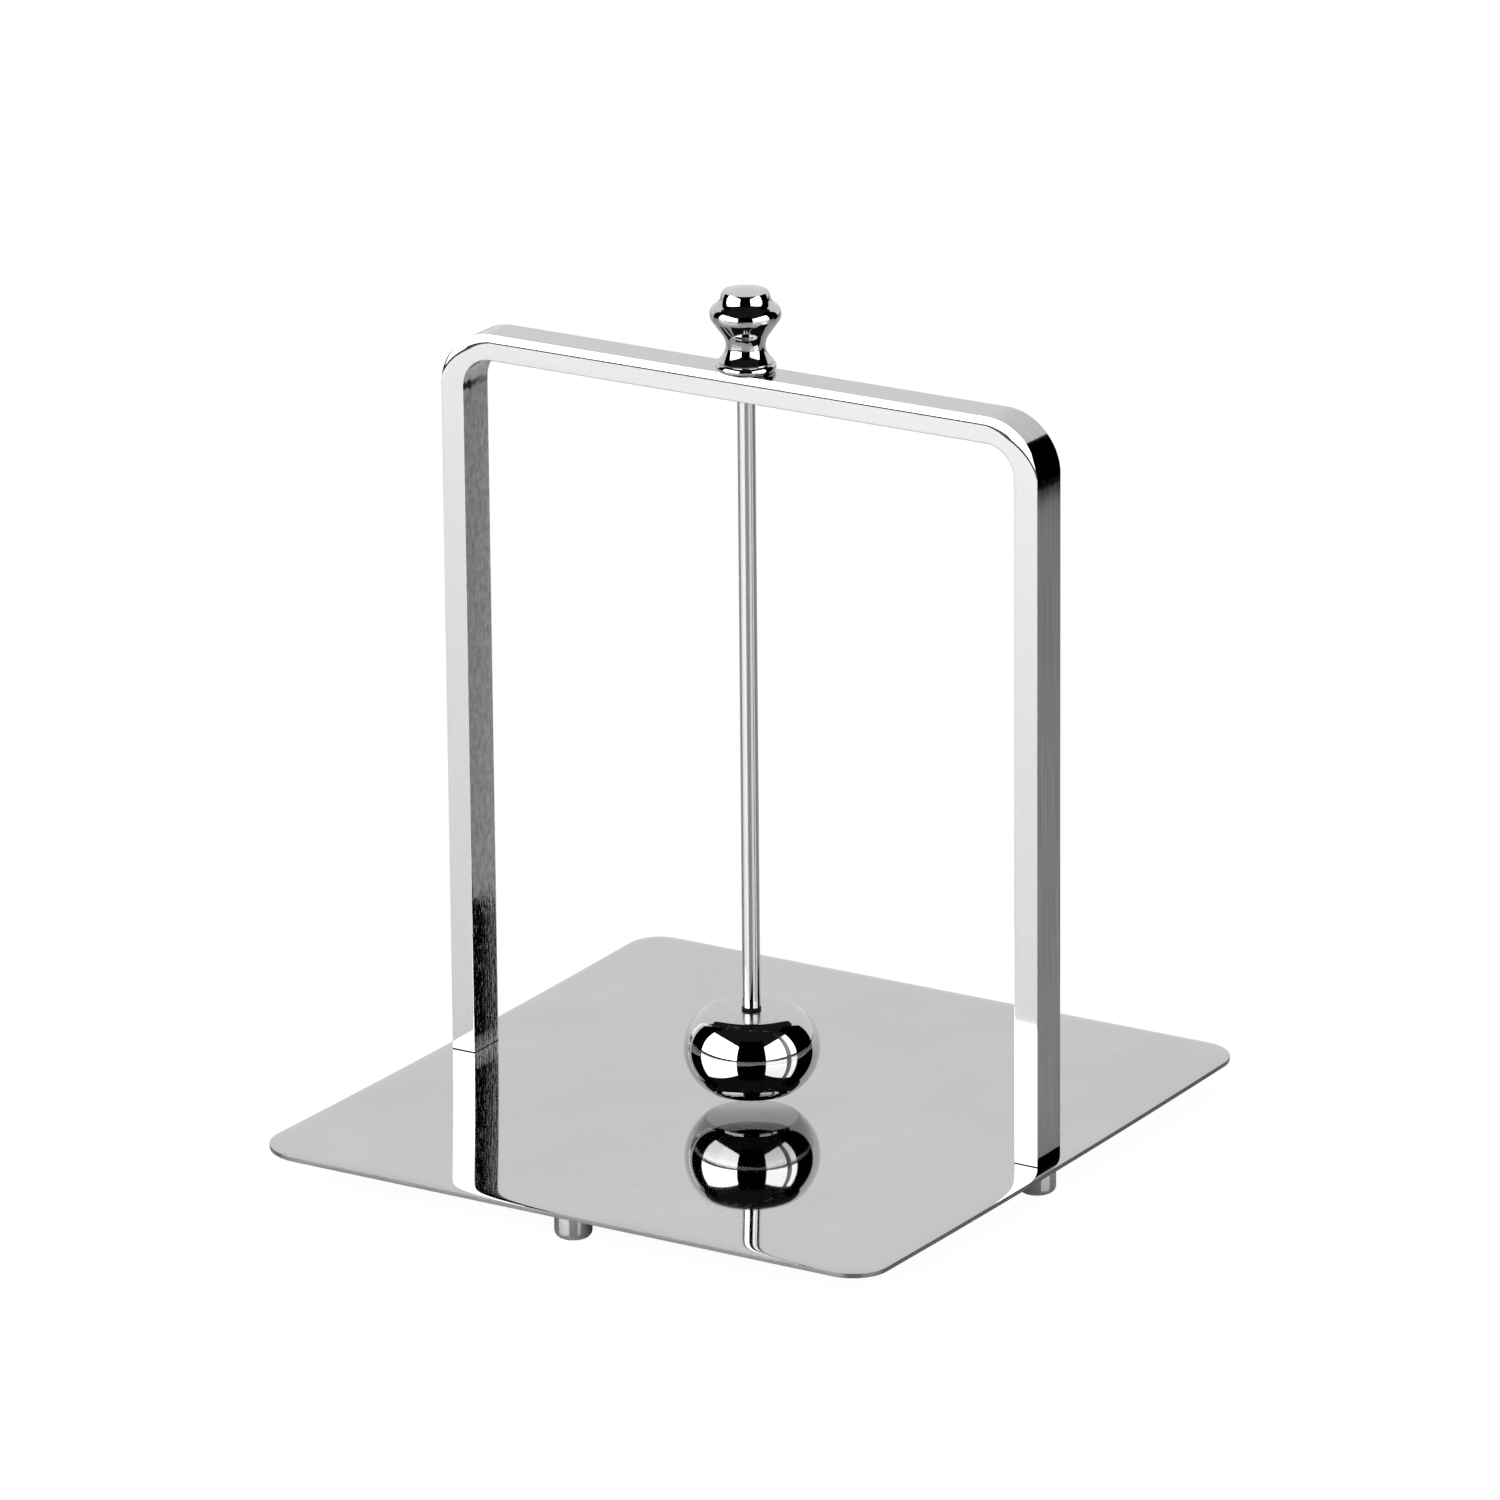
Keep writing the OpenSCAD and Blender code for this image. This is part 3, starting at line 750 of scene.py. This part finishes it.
def weight(finish, top_finish, under_finish):
    radius = size("weight").x / 2
    height = size("weight").z
    flat = 12.5
    rim_round = 4
    # The top is very slightly domed
    dome = 0.15
    edge = 0.15
    bore_depth = 10.5
    bore_floor = height - bore_depth
    swell = radius - flat
    side = (height * height / 4 + swell * swell) / (2 * swell)
    side_x = radius - side
    drop = height / 2 - rim_round
    rim_x = side_x + math.sqrt((side - rim_round) ** 2 - drop ** 2)
    meet = math.degrees(math.atan2(drop, rim_x - side_x))
    start = -math.degrees(math.asin((height / 2 - edge) / side))
    # The round of the rim ends where it is as steep as the dome's edge
    dome_slope = math.degrees(2 * dome / (rim_x - THREAD_BORE))
    crown = arc(rim_x, height - dome - rim_round, rim_round, meet, 90 - dome_slope)[1:]
    start_x, start_z = crown[-1]
    dome_steps = 8
    crown += [(start_x + (THREAD_BORE - start_x) * t, start_z + (height - start_z) * t * (2 - t))
              for t in (i / dome_steps for i in range(1, dome_steps + 1))]
    outline = ([(0, 0), (flat - edge, 0)] + arc(side_x, height / 2, side, start, meet)
               + crown + [(THREAD_BORE, bore_floor), (0, bore_floor)])
    piece = turned("press_weight", outline, foot_of("weight"), PRESS)
    piece.data.materials.append(finish)
    piece.data.materials.append(top_finish)
    piece.data.materials.append(under_finish)
    # The top and the underside have finishes of their own
    level = 0.995
    for polygon in piece.data.polygons:
        if polygon.normal.z > level:
            polygon.material_index = 1
        elif polygon.normal.z < -level:
            polygon.material_index = 2
    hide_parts("weight")


def curved(start, end, steps=12):
    """Half a parabola of the knob's waist: level at the waist, then turning outwards."""
    return [(start[0] + (end[0] - start[0]) * t * t, start[1] + (end[1] - start[1]) * t)
            for t in (i / steps for i in range(steps + 1))]


def knob(finish):
    height = size("knob").z
    bulge_radius = size("knob").x / 2
    base_step = 1.4
    base_radius = bulge_radius - base_step
    bead_round = 1.3
    bead_end = 60
    waist = (5.2, 6.84)
    flare_end = (7.32, 2.75)
    shoulder = (6.97, 10.95)
    bulge_round = 2.85
    bulge_height = 15.34
    bulge_start, bulge_end = -40, 68
    hollow = (7.02, 18.87)
    crown_foot = (6.67, 19.32)
    # The crown's wall leans inwards, more towards its top, under a slightly domed face
    crown_lean = (6, 26)
    crown_edge = 0.3
    crown_bevel = 0.6 * crown_edge
    crown_dome = 0.45
    bore_roof = 11
    pilot = 2.45
    bead = arc(base_radius - bead_round, bead_round, bead_round, -90, bead_end)
    lower = curved(waist, flare_end)[:0:-1]
    upper = curved(waist, shoulder)
    bulge = arc(bulge_radius - bulge_round, bulge_height, bulge_round, bulge_start, bulge_end)
    wall_top = height - crown_dome - crown_edge
    wall_steps = 8
    crown = [crown_foot]
    for i in range(wall_steps):
        lean = crown_lean[0] + (crown_lean[1] - crown_lean[0]) * (i + 0.5) / wall_steps
        rise = (wall_top - crown_foot[1]) / wall_steps
        crown.append((crown[-1][0] - rise * math.tan(math.radians(lean)), crown[-1][1] + rise))
    edge_r, edge_z = crown[-1]
    crown.append((edge_r - crown_bevel, edge_z + crown_edge))
    face_r, face_z = crown[-1]
    crown += [(face_r * (1 - t), face_z + crown_dome * t * (2 - t)) for t in (0.25, 0.5, 0.75)]
    outline = ([(0, bore_roof), (THREAD_BORE, bore_roof), (THREAD_BORE, PILOT_DEPTH),
                (pilot, PILOT_DEPTH), (pilot, 0)]
               + bead + lower + upper + bulge + [hollow] + crown + [(0, height)])
    piece = turned("turned_knob", outline, foot_of("knob"), PRESS)
    piece.data.materials.append(finish)
    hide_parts("knob")


# Studio

def visible_rays(tree):
    """1 for rays of the camera, of gloss and of glass, and 0 for those that carry light."""
    path = add(tree, "ShaderNodeLightPath").outputs
    seen = add(tree, "ShaderNodeMath", [path["Is Camera Ray"], path["Is Glossy Ray"]],
               operation="MAXIMUM")
    return add(tree, "ShaderNodeMath", [seen, path["Is Transmission Ray"]], operation="MAXIMUM")


def white_world():
    """White to the eye and in reflections, with plain light from all round."""
    world = bpy.data.worlds.new("white_surround")
    world.use_nodes = True
    bpy.context.scene.world = world
    tree = world.node_tree
    light_level = 0.45
    level = add(tree, "ShaderNodeMapRange", {
        "Value": visible_rays(tree), "To Min": light_level, "To Max": 1.0})
    feed(tree, tree.nodes["Background"], {"Color": (1, 1, 1, 1), "Strength": level})


def white_floor():
    """A white table top which keeps a faint shadow, and which steel mirrors as grey gloss.

    Polished steel shows what the studio was like: a table that shines softly, dim away from
    the softboxes. The lens sees the same table bright and white.
    """
    half = 12000
    corners = [(-half, -half, 0), (half, -half, 0), (half, half, 0), (-half, half, 0)]
    floor = mesh_piece("floor", corners, [(0, 1, 2, 3)])
    made, tree, shader = material("white_table_top")
    feed(tree, shader, {"Base Color": linear("#F4F4F4"), "Roughness": 0.9})
    glow = add(tree, "ShaderNodeEmission", {"Color": (1, 1, 1, 1), "Strength": 1.06})
    # What the eye sees is nine tenths glow, and the rest takes the shadow
    share = add(tree, "ShaderNodeMapRange", {
        "Value": visible_rays(tree), "To Min": 0.0, "To Max": 0.9})
    white = add(tree, "ShaderNodeMixShader", [share, shader, glow])
    grey = add(tree, "ShaderNodeBsdfPrincipled", {
        "Base Color": linear("#C4C4C4"), "Roughness": 0.12})
    mirrored = add(tree, "ShaderNodeLightPath").outputs["Is Glossy Ray"]
    mix = add(tree, "ShaderNodeMixShader", [mirrored, white, grey])
    feed(tree, tree.nodes["Material Output"], {"Surface": mix})
    floor.data.materials.append(made)


def card_finish():
    """Studio card that glows as its own attribute says, from black to a lit softbox."""
    made, tree, _ = material("studio_card")
    level = add(tree, "ShaderNodeAttribute", attribute_name="glow").outputs["Fac"]
    glow = add(tree, "ShaderNodeEmission", {"Color": (1, 1, 1, 1), "Strength": level})
    feed(tree, tree.nodes["Material Output"], {"Surface": glow})
    return made


def card(name, turn, near, far, glow, finish, facing=None, lights=False):
    """A strip round the object between two (radius, height) lines and two angles.

    Angles count from the camera's side, to its right. With facing, the strip is a flat
    panel that looks at the object from that angle, and the radius is its distance. The
    glow may change from one end to the other.
    """
    steps = 24
    points, faces, levels = [], [], []
    for i in range(steps + 1):
        t = i / steps
        angle = turn[0] + (turn[1] - turn[0]) * t
        stretch = 1 if facing is None else 1 / math.cos(math.radians(angle - facing))
        a = math.radians(VIEW_AZIMUTH + angle)
        for radius, height in (near, far):
            points.append((stretch * radius * math.sin(a), -stretch * radius * math.cos(a), height))
            levels.append(glow[0] + (glow[1] - glow[0]) * t)
    for i in range(steps):
        faces.append((2 * i, 2 * i + 2, 2 * i + 3, 2 * i + 1))
    piece = mesh_piece(name, points, faces)
    piece.data.attributes.new("glow", "FLOAT", "POINT").data.foreach_set("value", levels)
    piece.data.materials.append(finish)
    piece.visible_camera = False
    piece.visible_shadow = False
    piece.visible_diffuse = lights


def studio():
    """Two flat softboxes, black above, between and beside them, and white behind."""
    finish = card_finish()
    distance = 1500
    sill = 80
    top = 1382
    roof = 2600
    facing = 69
    black = (0, 0)
    dark = (0.015, 0.015)
    dim = (0.2, 0.2)
    lit = (3.2, 3.2)
    right_edge, right_end = 23.5, 80
    # The left softbox as (angle, glow), a little brighter towards the camera's side
    left_box = [(-93, 4.2), (-68, 4.4), (-58, 5.2), (-25.5, 5.2)]
    left_end, left_edge = left_box[0][0], left_box[-1][0]
    for (start, start_glow), (end, end_glow) in zip(left_box, left_box[1:]):
        card("softbox_left", (start, end), (distance, sill), (distance, top),
             (start_glow, end_glow), finish, -facing, True)
    card("softbox_right", (right_edge, right_end), (distance, sill), (distance, top), lit,
         finish, facing, True)
    for side, turn in ((-facing, (left_end, left_edge)), (facing, (right_edge, right_end))):
        card("dark_sill", turn, (distance, 0), (distance, sill), dark, finish, side)
        card("dark_above", turn, (distance, top), (distance, roof), dark, finish, side)
    # Black cards fill the gap and the sides, and lap a little behind the softboxes
    gap_radius = 2400
    gap_lap = 2
    side_radius = 1700
    side_lap = 1
    behind = 122
    card("black_gap", (left_edge - gap_lap, right_edge + gap_lap), (gap_radius, 0),
         (gap_radius, roof), black, finish)
    for turn in ((-behind, left_end + side_lap), (right_end - side_lap, behind)):
        card("black_side", turn, (side_radius, 0), (side_radius, roof), black, finish)
    # The table ends in front and far round on the right, and the floor beyond is dark
    dark_level = 1
    for side, turn, edge, reach, glow in ((-VIEW_AZIMUTH, (-112, -4), 770, 3, dim),
                                          (90 - VIEW_AZIMUTH, (105, 140), 402, 5, black)):
        card("dark_floor", turn, (edge, dark_level), (reach * edge, dark_level), glow, finish,
             side)
    # The ceiling reaches back far enough to leave white only below 44 degrees
    ceiling_radius = 2700
    card("dark_ceiling", (-180, 180), (1, roof), (ceiling_radius, roof), dark, finish)


def camera():
    azimuth, elevation = math.radians(VIEW_AZIMUTH), math.radians(VIEW_ELEVATION)
    level = math.cos(elevation)
    back = Vector((math.sin(azimuth) * level, -math.cos(azimuth) * level, math.sin(elevation)))
    lens = bpy.data.cameras.new("camera")
    lens.lens = LENS
    lens.sensor_width = SENSOR
    lens.clip_end = 100
    eye = bpy.data.objects.new("camera", lens)
    eye.location = (Vector(VIEW_TARGET) + back * VIEW_DISTANCE) * MM
    aim = back.to_track_quat("Z", "Y") @ Matrix.Rotation(
        math.radians(VIEW_ROLL), 4, "Z").to_quaternion()
    eye.rotation_euler = aim.to_euler()
    bpy.context.scene.collection.objects.link(eye)
    bpy.context.scene.camera = eye


# The whole napkin holder

camera()
steel_finish = turned_steel()
stud_finish = threaded_steel()
base_plate(polished_sheet(), sawn_rim())
arch()
feet(steel_finish)
rod(steel_finish)
ring(nitrile_rubber())
weight(steel_finish, faced_steel(), lapped_steel())
knob(steel_finish)
for stud in ("leg_stud_left", "leg_stud_right", "weld_stud_front", "weld_stud_back"):
    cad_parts[stud].data.materials.clear()
    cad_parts[stud].data.materials.append(stud_finish)
white_world()
white_floor()
studio()
bpy.context.scene.view_settings.view_transform = "Standard"
